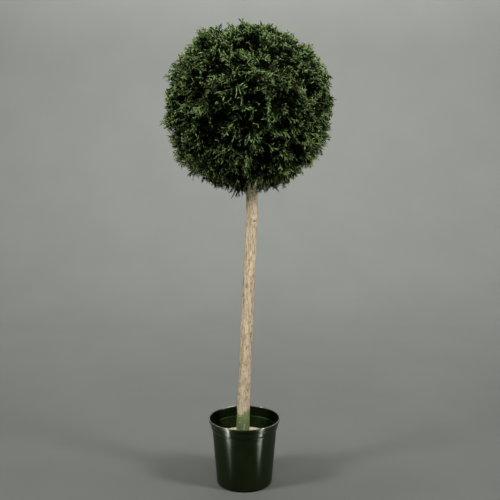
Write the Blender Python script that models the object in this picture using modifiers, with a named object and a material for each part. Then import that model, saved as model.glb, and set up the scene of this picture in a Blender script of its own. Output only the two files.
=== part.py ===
"""Potted thuja ball topiary: a clipped ball of flat thuja sprays on a peeled pole.

The pole stands in plaster in a round nursery pot. Metres, +Z up, front towards -Y.
The origin is on the ground, under the middle of the pot.
"""

import math
import random

import bmesh
import bpy
from mathutils import Matrix, Vector
from mathutils.bvhtree import BVHTree

# Clearance between pieces that touch
GAP = 0.0003

# Pot: outer radii and heights
POT_HEIGHT = 0.243
LIP_RADIUS = 0.127
LIP_DEPTH = 0.0075
LIP_ROUND = 0.0016
LIP_FLARE = 0.0022
CORNER = 0.0012
COLLAR_TOP_RADIUS = 0.1214
COLLAR_TOP_HEIGHT = 0.2255
COLLAR_FOOT_RADIUS = 0.1187
STEP_HEIGHT = 0.206
STEP_WIDTH = 0.0043
FOOT_RADIUS = 0.0992
HEEL_RADIUS = 0.009
WALL = 0.0024
ROUND_STEPS = 48

# Plaster fill: its height at the wall and at its flat seat round the pole
FILL_EDGE_HEIGHT = 0.168
FILL_RIM = 0.004
GROUND = 0.181
SEAT_RADIUS = 0.034
DOME_SHARE = 0.45

# Pole: heights with the sideways place of its axis, and heights with its radius
POLE_TOP = 1.372
POLE_AXIS = (
    (0.150, -0.0068),
    (0.300, -0.0022),
    (0.504, 0.0061),
    (0.721, 0.0151),
    (0.880, 0.0220),
    (0.965, 0.0262),
    (1.045, 0.0258),
    (1.200, 0.0240),
    (1.400, 0.0200),
)
POLE_RADIUS = (
    (0.150, 0.0250),
    (0.215, 0.0240),
    (0.290, 0.0230),
    (0.504, 0.0221),
    (0.880, 0.0209),
    (1.045, 0.0195),
    (1.400, 0.0175),
)
POLE_RINGS = 26
# Knots on the pole: height, bearing in degrees from +X towards +Y, swelling
POLE_KNOTS = (
    (0.953, -62.0, 0.0038),
    (0.508, -88.0, 0.0014),
    (0.305, 186.0, 0.0026),
    (0.700, 75.0, 0.0022),
)
KNOT_HEIGHT = 0.024
KNOT_WIDTH_DEG = 48.0

# Foliage ball: the clipped outline, its inner core and the sprays that stand out of it
BALL_CENTRE = Vector((0.012, 0.0, 1.343))
BALL_RADIUS = 0.2835
CORE_RADIUS = 0.190
CORE_UNEVEN = 0.010
CORE_SUBDIVISIONS = 3
TWIG_SEED = 31
TWIG_COUNT = 84
TWIG_SINK = 0.018
TWIG_RADIUS = 0.0036
TWIG_TAPER = 0.7
TWIG_WANDER = 0.10
FORK_RADIUS = 0.228
FORK_SCATTER = 0.06
SPRAY_DROOP = 0.16
SIDE_SPRAYS = 3
SIDE_FIRST = 0.50
SIDE_LAST = 0.86
SIDE_ANGLE_DEG = 50.0
SIDE_ANGLE_SCATTER_DEG = 8.0
SIDE_TURN_SCATTER = 0.4
ROLL_DEG = 60.0
ROLL_TRIES = 12
SPRAY_SHORTEST = 0.045
SPRAY_LONGEST = 0.125
SPRAY_WIDTH = 0.50
SPRAY_THICKNESS = 0.024
SPRAY_ROOT_SINK = 0.008
# Half the outline of a spray: share of its length, and distance from its rib by its width
SPRAY_TEETH = (
    (0.00, 0.02),
    (0.37, 0.50),
    (0.44, 0.15),
    (0.68, 0.42),
    (0.74, 0.12),
)
# The rib of a spray: share of its length, and how far it is raised by the spray's thickness
SPRAY_RIB = (
    (0.00, 0.35),
    (0.55, 1.00),
)
STRAY_SHARE = 0.07
STRAY_REACH = (1.05, 1.10)
USUAL_REACH = (0.97, 1.035)
POLE_CLEARANCE = 0.004
# Soft bumps and dips of the outline: angle round the front view in degrees, height
OUTLINE_BUMPS = (
    (20.0, 0.012),
    (40.0, 0.007),
    (56.0, -0.008),
    (97.0, -0.012),
    (118.0, 0.016),
    (175.0, -0.007),
    (220.0, 0.011),
    (320.0, 0.006),
)
BUMP_SPREAD_DEG = 11.0
# Long tips that stand past the clipping: angle round the front view in degrees, reach
LONG_TIPS = (
    (24.0, 0.304),
    (34.0, 0.299),
    (62.0, 0.298),
    (77.0, 0.294),
    (102.0, 0.305),
    (119.0, 0.319),
    (159.0, 0.310),
    (217.0, 0.316),
    (255.0, 0.301),
)
LONG_TIP_WIDTH = 0.26


def make_material(name, colour, roughness, metallic=0.0):
    """A Principled BSDF material of one colour."""
    material = bpy.data.materials.new(name)
    material.use_nodes = True
    shader = material.node_tree.nodes["Principled BSDF"]
    shader.inputs["Base Color"].default_value = (*colour, 1.0)
    shader.inputs["Roughness"].default_value = roughness
    shader.inputs["Metallic"].default_value = metallic
    material.diffuse_color = (*colour, 1.0)
    return material


def mesh_object(name, mesh, collection):
    """Link a mesh as a named object in a collection."""
    thing = bpy.data.objects.new(name, mesh)
    collection.objects.link(thing)
    return thing


def polyline_object(name, points, collection):
    """An open outline in the XZ plane, for the Screw modifier."""
    outline = bmesh.new()
    corners = [outline.verts.new((x, 0.0, z)) for x, z in points]
    for start, end in zip(corners, corners[1:]):
        outline.edges.new((start, end))
    mesh = bpy.data.meshes.new(name)
    outline.to_mesh(mesh)
    outline.free()
    return mesh_object(name, mesh, collection)


def turn_profile(thing):
    """Turn an outline round the Z axis into a closed solid."""
    screw = thing.modifiers.new("turned", "SCREW")
    screw.axis = "Z"
    screw.steps = ROUND_STEPS
    screw.render_steps = ROUND_STEPS
    screw.use_merge_vertices = True
    screw.merge_threshold = 0.00005
    screw.use_smooth_shade = True


def blend_table(table, height):
    """Read a table of (height, value) rows at a height, straight between the rows."""
    for (low, start), (high, end) in zip(table, table[1:]):
        if height <= high:
            share = max(0.0, (height - low) / (high - low))
            return start + (end - start) * share
    return table[-1][1]


def heel_arc(centre_radius, radius, angles):
    """Points on the pot's rounded heel, as seen in the profile."""
    points = []
    for angle in angles:
        bearing = math.radians(angle)
        out = centre_radius + radius * math.cos(bearing)
        points.append((out, HEEL_RADIUS + radius * math.sin(bearing)))
    return points


def wall_radius(height):
    """Outer radius of the tapered wall between the heel and the step."""
    top = COLLAR_FOOT_RADIUS - STEP_WIDTH
    share = (height - HEEL_RADIUS) / (STEP_HEIGHT - HEEL_RADIUS)
    return FOOT_RADIUS + (top - FOOT_RADIUS) * share


def make_pot(collection):
    """The nursery pot: flat underside, tapered wall, stepped collar and rolled lip."""
    heel_centre = FOOT_RADIUS - HEEL_RADIUS
    lip_foot = POT_HEIGHT - LIP_DEPTH
    ledge = STEP_HEIGHT + WALL
    outer = [
        (LIP_RADIUS - LIP_ROUND, POT_HEIGHT),
        (LIP_RADIUS - 0.2 * LIP_ROUND, POT_HEIGHT - 0.6 * LIP_ROUND),
        (LIP_RADIUS, POT_HEIGHT - 1.5 * LIP_ROUND),
        (LIP_RADIUS, lip_foot),
        (LIP_RADIUS - CORNER, lip_foot - CORNER),
        (COLLAR_TOP_RADIUS, COLLAR_TOP_HEIGHT),
        (COLLAR_FOOT_RADIUS, STEP_HEIGHT + CORNER),
        (COLLAR_FOOT_RADIUS - CORNER, STEP_HEIGHT),
        (wall_radius(STEP_HEIGHT), STEP_HEIGHT - CORNER),
    ]
    outer += heel_arc(heel_centre, HEEL_RADIUS, (0, -30, -60, -90))
    outer.append((0.0, 0.0))
    inner = [(0.0, WALL)]
    inner += heel_arc(heel_centre, HEEL_RADIUS - WALL, (-90, -60, -30, 0))
    inner += [
        (wall_radius(ledge) - WALL, ledge - CORNER),
        (COLLAR_FOOT_RADIUS - WALL, ledge + CORNER),
        (COLLAR_TOP_RADIUS - WALL, COLLAR_TOP_HEIGHT),
        (LIP_RADIUS - WALL - LIP_FLARE, lip_foot),
        (LIP_RADIUS - WALL - CORNER, POT_HEIGHT - CORNER),
        (LIP_RADIUS - WALL, POT_HEIGHT),
    ]
    profile = outer + inner
    profile.append(profile[0])
    pot = polyline_object("pot", profile, collection)
    turn_profile(pot)
    pot.data.materials.append(make_material("pot_green_plastic", (0.008, 0.016, 0.006), 0.25))
    return pot


def make_fill(collection):
    """The plaster that holds the pole, gently domed up to a flat seat round it."""
    heel_centre = FOOT_RADIUS - HEEL_RADIUS
    inset = WALL + GAP
    side = wall_radius(FILL_EDGE_HEIGHT) - inset
    dome = GROUND - FILL_EDGE_HEIGHT
    profile = [
        (0.0, GROUND),
        (SEAT_RADIUS, GROUND),
        (0.5 * (SEAT_RADIUS + side), FILL_EDGE_HEIGHT + DOME_SHARE * dome),
        (side - FILL_RIM, FILL_EDGE_HEIGHT),
        (side, FILL_EDGE_HEIGHT - 0.4 * FILL_RIM),
    ]
    profile += heel_arc(heel_centre, HEEL_RADIUS - inset, (0, -30, -60, -90))
    profile.append((0.0, inset))
    fill = polyline_object("pot_fill", profile, collection)
    turn_profile(fill)
    fill.data.materials.append(make_material("cream_plaster", (0.54, 0.45, 0.32), 0.85))
    return fill


def pole_centre(height):
    """A point on the axis of the pole."""
    return Vector((blend_table(POLE_AXIS, height), 0.0, height))


def swell_knots(mesh, clearance):
    """Push the skin of the pole out at its knots, and by a clearance all over."""
    for vertex in mesh.vertices:
        centre = pole_centre(vertex.co.z)
        arm = vertex.co - centre
        arm.z = 0.0
        bearing = math.degrees(math.atan2(arm.y, arm.x))
        swelling = clearance
        for height, knot_bearing, size in POLE_KNOTS:
            turn = (bearing - knot_bearing + 180.0) % 360.0 - 180.0
            rise = (vertex.co.z - height) / KNOT_HEIGHT
            swelling += size * math.exp(-rise * rise - (turn / KNOT_WIDTH_DEG) ** 2)
        if arm.length > 0.001:
            vertex.co += arm.normalized() * swelling


def make_pole(name, foot, top, clearance, collection):
    """The pole as one tapering limb with a flat cut at its foot."""
    curve = bpy.data.curves.new(name + "_axis", "CURVE")
    curve.dimensions = "3D"
    curve.bevel_depth = 1.0
    curve.bevel_resolution = 5
    curve.use_fill_caps = True
    spline = curve.splines.new("POLY")
    spline.points.add(POLE_RINGS - 1)
    start = foot - 0.02
    for index, point in enumerate(spline.points):
        height = start + (top - start) * index / (POLE_RINGS - 1)
        point.co = (*pole_centre(height), 1.0)
        point.radius = blend_table(POLE_RADIUS, height)
    guide = mesh_object(name + "_axis", curve, collection)
    bpy.context.view_layer.update()
    solid = bpy.data.meshes.new_from_object(guide.evaluated_get(bpy.context.evaluated_depsgraph_get()))
    bpy.data.objects.remove(guide)
    bpy.data.curves.remove(curve)
    skin = bmesh.new()
    skin.from_mesh(solid)
    bmesh.ops.remove_doubles(skin, verts=skin.verts, dist=0.00001)
    everything = skin.verts[:] + skin.edges[:] + skin.faces[:]
    bmesh.ops.bisect_plane(
        skin, geom=everything, plane_co=(0.0, 0.0, foot), plane_no=(0.0, 0.0, 1.0), clear_inner=True
    )
    bmesh.ops.holes_fill(skin, edges=[edge for edge in skin.edges if edge.is_boundary])
    bmesh.ops.recalc_face_normals(skin, faces=skin.faces)
    skin.to_mesh(solid)
    skin.free()
    swell_knots(solid, clearance)
    return mesh_object(name, solid, collection)


def make_trunk(collection):
    """The peeled pole, from the plaster up into the middle of the ball."""
    trunk = make_pole("trunk", GROUND + GAP, POLE_TOP, 0.0, collection)
    trunk.data.materials.append(make_material("peeled_wood", (0.47, 0.37, 0.25), 0.7))
    trunk.data.shade_smooth()
    trunk.data.set_sharp_from_angle(angle=math.radians(50.0))
    return trunk


def ball_reach(direction):
    """Radius of the clipped outline along a direction from the ball's centre."""
    reach = BALL_RADIUS
    for angle, height in OUTLINE_BUMPS:
        bearing = math.radians(angle)
        bump = Vector((math.cos(bearing), 0.0, math.sin(bearing)))
        off = math.degrees(direction.angle(bump)) / BUMP_SPREAD_DEG
        reach += height * math.exp(-off * off)
    return reach


def length_to_reach(start, direction, share):
    """How far a spray runs from its root to the outline, or to a share of it."""
    out = start - BALL_CENTRE
    radius = share * ball_reach((out + 0.1 * direction).normalized())
    along = out.dot(direction)
    return -along + math.sqrt(max(0.0, along * along + radius * radius - out.length_squared))


def limb_point(start, direction, length, droop, share):
    """A point on a twig or spray that hangs over towards its tip."""
    drop = Vector((0.0, 0.0, -droop * length * share * share))
    return start + direction * (length * share) + drop


def hits_pole(point):
    """Whether a point comes too close to the pole."""
    if point.z > POLE_TOP:
        return False
    arm = point - pole_centre(point.z)
    arm.z = 0.0
    return arm.length < blend_table(POLE_RADIUS, point.z) + POLE_CLEARANCE


def twig_frames():
    """The seeded rule: a direction, a fan side and its own random draws for each twig."""
    golden = math.pi * (3.0 - math.sqrt(5.0))
    for index in range(TWIG_COUNT):
        draw = random.Random(TWIG_SEED * 1000 + index)
        height = 1.0 - 2.0 * (index + 0.5) / TWIG_COUNT
        ring = math.sqrt(1.0 - height * height)
        turn = index * golden
        direction = Vector((ring * math.cos(turn), ring * math.sin(turn), height))
        direction += Vector([draw.uniform(-TWIG_WANDER, TWIG_WANDER) for _ in range(3)])
        direction.normalize()
        across = direction.cross(Vector((draw.gauss(0, 1), draw.gauss(0, 1), draw.gauss(0, 1))))
        yield draw, direction, across.normalized()


def make_twig(name, start, direction, length, collection):
    """A three-sided tapering twig."""
    shape = bmesh.new()
    turn = direction.to_track_quat("Z", "Y").to_matrix().to_4x4()
    place = Matrix.Translation(start + direction * (0.5 * length)) @ turn
    bmesh.ops.create_cone(
        shape,
        cap_ends=True,
        segments=3,
        radius1=TWIG_RADIUS,
        radius2=TWIG_TAPER * TWIG_RADIUS,
        depth=length,
        matrix=place,
    )
    mesh = bpy.data.meshes.new(name)
    shape.to_mesh(mesh)
    shape.free()
    return mesh_object(name, mesh, collection)


def make_spray(name, start, direction, across, length, slimness, collection):
    """A toothed blade with a raised rib, for a flat spray of needles."""
    facing = across.cross(direction).normalized()
    shape = bmesh.new()
    width = slimness * length
    thickness = SPRAY_THICKNESS * length
    edges = []
    for side in (1.0, -1.0):
        edge = []
        for share, half in SPRAY_TEETH:
            spot = limb_point(start, direction, length, SPRAY_DROOP, share)
            edge.append(shape.verts.new(spot + across * (side * half * width)))
        edges.append(edge)
    tip = shape.verts.new(limb_point(start, direction, length, SPRAY_DROOP, 1.0))
    ribs = []
    for share, raised in SPRAY_RIB:
        spot = limb_point(start, direction, length, SPRAY_DROOP, share)
        ribs.append(shape.verts.new(spot + facing * (thickness * raised)))
    for edge in edges:
        chain = edge + [tip]
        shape.faces.new((ribs[0], chain[0], chain[1]))
        shape.faces.new((ribs[0], chain[1], chain[2]))
        shape.faces.new((ribs[0], chain[2], ribs[1]))
        for near, far in zip(chain[2:], chain[3:]):
            shape.faces.new((ribs[1], near, far))
    left, right = edges
    shape.faces.new((left[0], right[0], ribs[0]))
    for row in range(len(left) - 1):
        shape.faces.new((left[row], left[row + 1], right[row + 1]))
        shape.faces.new((left[row], right[row + 1], right[row]))
    shape.faces.new((left[-1], tip, right[-1]))
    bmesh.ops.recalc_face_normals(shape, faces=shape.faces)
    mesh = bpy.data.meshes.new(name)
    shape.to_mesh(mesh)
    shape.free()
    return mesh_object(name, mesh, collection)


def spray_length(draw, start, direction, across):
    """How far a spray runs out to the clipped outline, or nothing if it would meet the pole."""
    stray = draw.random() < STRAY_SHARE
    share = draw.uniform(*(STRAY_REACH if stray else USUAL_REACH))
    length = min(SPRAY_LONGEST, length_to_reach(start, direction, share))
    if length < SPRAY_SHORTEST:
        return 0.0
    half = 0.5 * SPRAY_WIDTH * length
    for step in (0.3, 0.65, 1.0):
        spot = limb_point(start, direction, length, SPRAY_DROOP, step)
        if any(hits_pole(spot + across * (side * half)) for side in (-1.0, 0.0, 1.0)):
            return 0.0
    return length


def grow_spray(name, draw, start, direction, across, grown, collection):
    """One spray, turned about its rib until it is clear of the sprays before it."""
    for _ in range(ROLL_TRIES):
        roll = Matrix.Rotation(math.radians(draw.uniform(-ROLL_DEG, ROLL_DEG)), 3, direction)
        side = roll @ across
        length = spray_length(draw, start, direction, side)
        if length == 0.0:
            continue
        spray = make_spray(name, start, direction, side, length, SPRAY_WIDTH, collection)
        corners = [vertex.co for vertex in spray.data.vertices]
        tree = BVHTree.FromPolygons(corners, [face.vertices for face in spray.data.polygons])
        if not any(tree.overlap(other) for other in grown):
            grown.append(tree)
            return
        bpy.data.objects.remove(spray)


def grow_twigs(collection):
    """Twigs out of the core, each forking into an end spray and side sprays."""
    grown = []
    for index, (draw, direction, across) in enumerate(twig_frames()):
        start = BALL_CENTRE + direction * (CORE_RADIUS - TWIG_SINK)
        scatter = draw.uniform(1.0 - FORK_SCATTER, 1.0 + FORK_SCATTER)
        length = FORK_RADIUS * scatter - CORE_RADIUS + TWIG_SINK
        fork = start + direction * length
        if hits_pole(fork):
            continue
        make_twig(f"twig_{index}", start, direction, length, collection)
        end_root = fork - direction * SPRAY_ROOT_SINK
        grow_spray(f"spray_{index}_end", draw, end_root, direction, across, grown, collection)
        for order in range(SIDE_SPRAYS):
            share = SIDE_FIRST + (SIDE_LAST - SIDE_FIRST) * order / (SIDE_SPRAYS - 1)
            turn = math.tau * order / SIDE_SPRAYS
            turn += draw.uniform(-SIDE_TURN_SCATTER, SIDE_TURN_SCATTER)
            angle = SIDE_ANGLE_DEG + draw.uniform(-SIDE_ANGLE_SCATTER_DEG, SIDE_ANGLE_SCATTER_DEG)
            angle = math.radians(angle)
            sideways = Matrix.Rotation(turn, 3, direction) @ across
            aim = direction * math.cos(angle) + sideways * math.sin(angle)
            fan_side = aim.cross(direction).normalized()
            root = start + direction * (length * share)
            grow_spray(f"spray_{index}_{order}", draw, root, aim, fan_side, grown, collection)


def grow_long_tips(collection):
    """Slim sprays that stand past the clipped outline, at its furthest points."""
    for index, (angle, reach) in enumerate(LONG_TIPS):
        draw = random.Random(TWIG_SEED * 1000 + TWIG_COUNT + index)
        bearing = math.radians(angle)
        direction = Vector((math.cos(bearing), 0.0, math.sin(bearing)))
        start = BALL_CENTRE + direction * (CORE_RADIUS - TWIG_SINK)
        tip = BALL_CENTRE + direction * reach
        tip.z += SPRAY_DROOP * (reach - CORE_RADIUS + TWIG_SINK)
        length = (tip - start).length
        aim = (tip - start).normalized()
        across = aim.cross(Vector((draw.gauss(0, 1), 1.0, draw.gauss(0, 1)))).normalized()
        make_spray(f"long_tip_{index}", start, aim, across, length, LONG_TIP_WIDTH, collection)


def make_core(collection, cutters):
    """The dense middle of the ball, with the socket that the pole runs up into."""
    shape = bmesh.new()
    bmesh.ops.create_icosphere(shape, subdivisions=CORE_SUBDIVISIONS, radius=CORE_RADIUS)
    draw = random.Random(TWIG_SEED)
    for vertex in shape.verts:
        vertex.co += vertex.co.normalized() * draw.uniform(-CORE_UNEVEN, CORE_UNEVEN)
        vertex.co += BALL_CENTRE
    mesh = bpy.data.meshes.new("foliage_ball")
    shape.to_mesh(mesh)
    shape.free()
    core = mesh_object("foliage_ball", mesh, collection)
    below = BALL_CENTRE.z - 1.3 * CORE_RADIUS
    socket = make_pole("pole_socket", below, POLE_TOP + GAP, 1.2 * GAP, cutters)
    socket.hide_render = True
    socket.display_type = "WIRE"
    apply_boolean(core, "DIFFERENCE", "EXACT", other=socket)
    return core


def apply_boolean(thing, operation, solver, other=None, group=None):
    """Apply one Boolean on an object or a collection to a mesh."""
    cut = thing.modifiers.new("joined", "BOOLEAN")
    cut.operation = operation
    cut.solver = solver
    if group is not None:
        cut.operand_type = "COLLECTION"
        cut.collection = group
    else:
        cut.object = other
    bpy.context.view_layer.update()
    joined = bpy.data.meshes.new_from_object(thing.evaluated_get(bpy.context.evaluated_depsgraph_get()))
    thing.modifiers.remove(cut)
    thing.data = joined


def keep_outer_skin(mesh):
    """Fill the small hollows that the fusing seals, and drop loose scraps."""
    skin = bmesh.new()
    skin.from_mesh(mesh)
    left = set(skin.faces)
    shells = []
    while left:
        shell = set()
        edge_of_search = [left.pop()]
        while edge_of_search:
            face = edge_of_search.pop()
            shell.add(face)
            for near in {other for edge in face.edges for other in edge.link_faces}:
                if near in left:
                    left.remove(near)
                    edge_of_search.append(near)
        shells.append(shell)
    shells.sort(key=len)
    scraps = [face for shell in shells[:-1] for face in shell]
    bmesh.ops.delete(skin, geom=scraps, context="FACES")
    skin.to_mesh(mesh)
    skin.free()


def make_foliage_ball(collection, cutters):
    """The ball of foliage, fused into one mass round the head of the pole."""
    sprays = bpy.data.collections.new("sprays")
    bpy.context.scene.collection.children.link(sprays)
    ball = make_core(collection, cutters)
    grow_twigs(sprays)
    grow_long_tips(sprays)
    apply_boolean(ball, "UNION", "MANIFOLD", group=sprays)
    keep_outer_skin(ball.data)
    for piece in list(sprays.objects):
        bpy.data.objects.remove(piece)
    bpy.data.collections.remove(sprays)
    ball.data.materials.clear()
    ball.data.materials.append(make_material("thuja_green", (0.030, 0.052, 0.016), 0.8))
    return ball


def main():
    """Clear the scene and build the topiary."""
    for thing in list(bpy.data.objects):
        bpy.data.objects.remove(thing)
    parts = bpy.data.collections.new("potted_thuja_ball_topiary")
    cutters = bpy.data.collections.new("cutters")
    bpy.context.scene.collection.children.link(parts)
    bpy.context.scene.collection.children.link(cutters)
    make_pot(parts)
    make_fill(parts)
    make_trunk(parts)
    make_foliage_ball(parts, cutters)


main()
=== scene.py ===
"""The looks of a potted thuja ball topiary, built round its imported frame.

Metres, +Z up, the front of the plant towards -Y.
"""

import math
import random
from contextlib import contextmanager

import bpy
import numpy as np
from bpy.props import FloatProperty, FloatVectorProperty, IntProperty, PointerProperty
from mathutils import Matrix, Vector


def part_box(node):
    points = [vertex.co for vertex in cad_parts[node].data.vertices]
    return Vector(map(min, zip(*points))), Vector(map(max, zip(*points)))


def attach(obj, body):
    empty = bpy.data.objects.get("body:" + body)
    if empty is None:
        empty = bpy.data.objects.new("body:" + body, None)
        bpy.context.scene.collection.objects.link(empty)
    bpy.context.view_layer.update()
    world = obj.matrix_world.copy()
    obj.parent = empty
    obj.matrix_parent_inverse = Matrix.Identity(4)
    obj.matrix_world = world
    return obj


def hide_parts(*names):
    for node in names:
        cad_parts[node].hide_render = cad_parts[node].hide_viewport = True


bl_info = {
    "name": "Potted Thuja Ball Topiary",
    "version": (1, 0, 0),
    "blender": (4, 5, 0),
    "location": "View3D > Sidebar > Topiary",
    "description": "Builds a thuja ball on a peeled pole, set in plaster in a nursery pot",
    "category": "Object",
}

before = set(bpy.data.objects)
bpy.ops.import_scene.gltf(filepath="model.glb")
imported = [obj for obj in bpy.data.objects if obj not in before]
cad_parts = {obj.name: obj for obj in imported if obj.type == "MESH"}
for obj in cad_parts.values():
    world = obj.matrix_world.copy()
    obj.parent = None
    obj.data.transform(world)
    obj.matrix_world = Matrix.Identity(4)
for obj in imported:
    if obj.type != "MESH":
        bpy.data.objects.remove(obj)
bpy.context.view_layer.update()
POT_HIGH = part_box("pot")[1]
FILL_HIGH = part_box("pot_fill")[1]
POLE_LOW, POLE_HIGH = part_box("trunk")

# What some of the lights shine on alone: the pot, the plant, the floor and the pole
SHINE = "strip_lit"
PLANT = "plant_lit"
GROUND = "floor_lit"
WOOD = "pole_lit"
RECEIVERS = (("strip", SHINE), ("pole_fill", WOOD), ("back_box", PLANT), ("far", GROUND))

# Name, place, aim, size, power in watts and spread in degrees of each light
LIGHTS = (
    ("left_strip", (-1.624, -1.167, 0.47), (0.0, 0.0, 0.44), (0.10, 0.17), 1.60, 19.9),
    ("left_glint_strip", (-1.624, -1.167, 0.47), (0.0, 0.0, 0.26), (0.08, 0.05), 0.44, 5.5),
    ("right_strip", (1.624, -1.167, 0.47), (0.0, 0.0, 0.44), (0.10, 0.17), 2.25, 19.9),
    ("right_glint_strip", (1.624, -1.167, 0.47), (0.0, 0.0, 0.26), (0.08, 0.05), 0.32, 5.5),
    ("pole_fill", (0.25, -2.6, 0.35), (0.02, 0.0, 0.95), (0.8, 0.5), 27.0, 180.0),
    ("left_box", (-1.99, -1.15, 2.4), (0.0, 0.0, 0.9), (0.5, 1.0), 77.0, 180.0),
    ("right_box", (1.99, -1.15, 2.4), (0.0, 0.0, 0.9), (0.5, 1.0), 79.0, 180.0),
    ("front_box", (0.0, -2.2, 3.4), (0.0, 0.0, 0.8), (1.4, 0.8), 36.0, 180.0),
    ("top_box", (0.0, 0.4, 3.6), (0.0, 0.0, 1.3), (1.4, 0.8), 30.0, 180.0),
    ("backdrop_box", (0.3, 1.5, 4.4), (0.3, 3.8, 3.6), (5.5, 0.6), 632.0, 180.0),
    ("back_box", (0.0, 3.2, 2.6), (0.0, 0.0, 1.1), (1.4, 0.8), 42.0, 180.0),
    ("left_far", (-6.0, 0.0, 3.6), (-6.0, 0.01, 0.0), (3.0, 6.0), 260.0, 90.0),
    ("right_far", (6.0, 0.0, 3.6), (6.0, 0.01, 0.0), (3.0, 6.0), 260.0, 90.0),
    ("front_far", (0.0, -7.0, 3.6), (0.0, -6.99, 0.0), (6.0, 3.0), 260.0, 90.0),
)

# The background, and how far from the middle the floor begins and ends to blend into it
BACKGROUND = (0.9, 0.95, 1.0)
BACKGROUND_STRENGTH = 0.26
FADE_REACH = (2.6, 5.6)

# Heights of the step under the pot's collar and of the ledge inside it
COLLAR_FOOT = 0.206
LEDGE = 0.2085

# Heights between which dark specks end at the pole's foot, and green ones begin under the ball
MOULD_FADE = (0.234, 0.214)
SPECK_FADE = (0.995, 1.045)

# The pole's axis and radius by height, as its solid has them
POLE_AXIS = (
    (0.150, -0.0068),
    (0.300, -0.0022),
    (0.504, 0.0061),
    (0.721, 0.0151),
    (0.880, 0.0220),
    (0.965, 0.0262),
    (1.045, 0.0258),
    (1.200, 0.0240),
    (1.400, 0.0200),
)
POLE_RADIUS = (
    (0.150, 0.0250),
    (0.215, 0.0240),
    (0.290, 0.0230),
    (0.504, 0.0221),
    (0.880, 0.0209),
    (1.045, 0.0195),
    (1.400, 0.0175),
)
# Knots: height, bearing in degrees from +X towards +Y, swelling
POLE_KNOTS = (
    (0.953, -62.0, 0.0038),
    (0.508, -88.0, 0.0014),
    (0.305, 186.0, 0.0026),
    (0.700, 75.0, 0.0022),
)
KNOT_HEIGHT = 0.024
KNOT_WIDTH_DEG = 48.0
# Small hollows in the knots: height, bearing, half width, depth
KNOT_HOLES = (
    (0.9535, -62.0, 0.0046, 0.0100),
    (0.5080, -76.0, 0.0022, 0.0060),
)

# The ball's rule, as its solid has it
BALL_CENTRE = Vector((0.012, 0.0, 1.343))
GOLDEN_TURN = math.pi * (3.0 - math.sqrt(5.0))
TWIG_SEED = 31
TWIG_COUNT = 84
SIDE_SPRAYS = 3
SIDE_ANGLE_DEG = 50.0
# Soft bumps and dips of the outline: angle round the front view in degrees, height
OUTLINE_BUMPS = (
    (20.0, 0.012),
    (40.0, 0.007),
    (56.0, -0.008),
    (97.0, -0.012),
    (118.0, 0.016),
    (175.0, -0.007),
    (220.0, 0.011),
    (320.0, 0.006),
)
BUMP_SPREAD_DEG = 11.0
# Long tips that stand past the clipping: angle round the front view in degrees, reach
LONG_TIPS = (
    (24.0, 0.304),
    (34.0, 0.299),
    (62.0, 0.298),
    (77.0, 0.294),
    (102.0, 0.305),
    (119.0, 0.319),
    (159.0, 0.310),
    (217.0, 0.316),
    (255.0, 0.301),
)
# Dark hollows in the front of the ball: sideways and upward from its middle as the camera
# sees them, radius
POCKETS = (
    (-0.172, 0.098, 0.013),
    (-0.087, 0.062, 0.026),
    (0.002, 0.028, 0.025),
    (0.092, 0.005, 0.030),
    (0.142, 0.028, 0.013),
    (0.085, 0.118, 0.015),
    (-0.125, 0.025, 0.019),
    (-0.063, -0.050, 0.024),
    (-0.157, -0.045, 0.014),
    (-0.102, -0.098, 0.025),
    (0.002, -0.078, 0.024),
    (0.108, -0.065, 0.018),
    (0.162, -0.098, 0.015),
    (-0.045, -0.115, 0.021),
    (0.062, -0.145, 0.024),
    (-0.075, -0.198, 0.014),
)
# Places in the front of the ball with painted light and shade, lighter or darker: sideways, upward, radius,
# change of tone
LIGHT_AND_SHADE_PLACES = (
    (0.065, 0.125, 0.045, 1.6),
    (0.005, 0.195, 0.055, 0.9),
    (0.150, 0.200, 0.060, 0.9),
    (0.225, -0.120, 0.045, 0.6),
    (-0.235, 0.030, 0.050, 0.5),
    (-0.100, 0.010, 0.028, 0.9),
    (0.175, 0.000, 0.030, 0.7),
    (-0.150, 0.105, 0.035, -0.6),
    (0.005, 0.000, 0.078, -1.8),
    (0.065, -0.175, 0.045, -0.7),
    (-0.075, -0.095, 0.060, -1.1),
    (0.095, 0.018, 0.036, -1.0),
    (-0.053, 0.052, 0.036, -0.9),
    (-0.070, 0.245, 0.060, 0.9),
    (0.090, 0.240, 0.060, 0.8),
)
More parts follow.
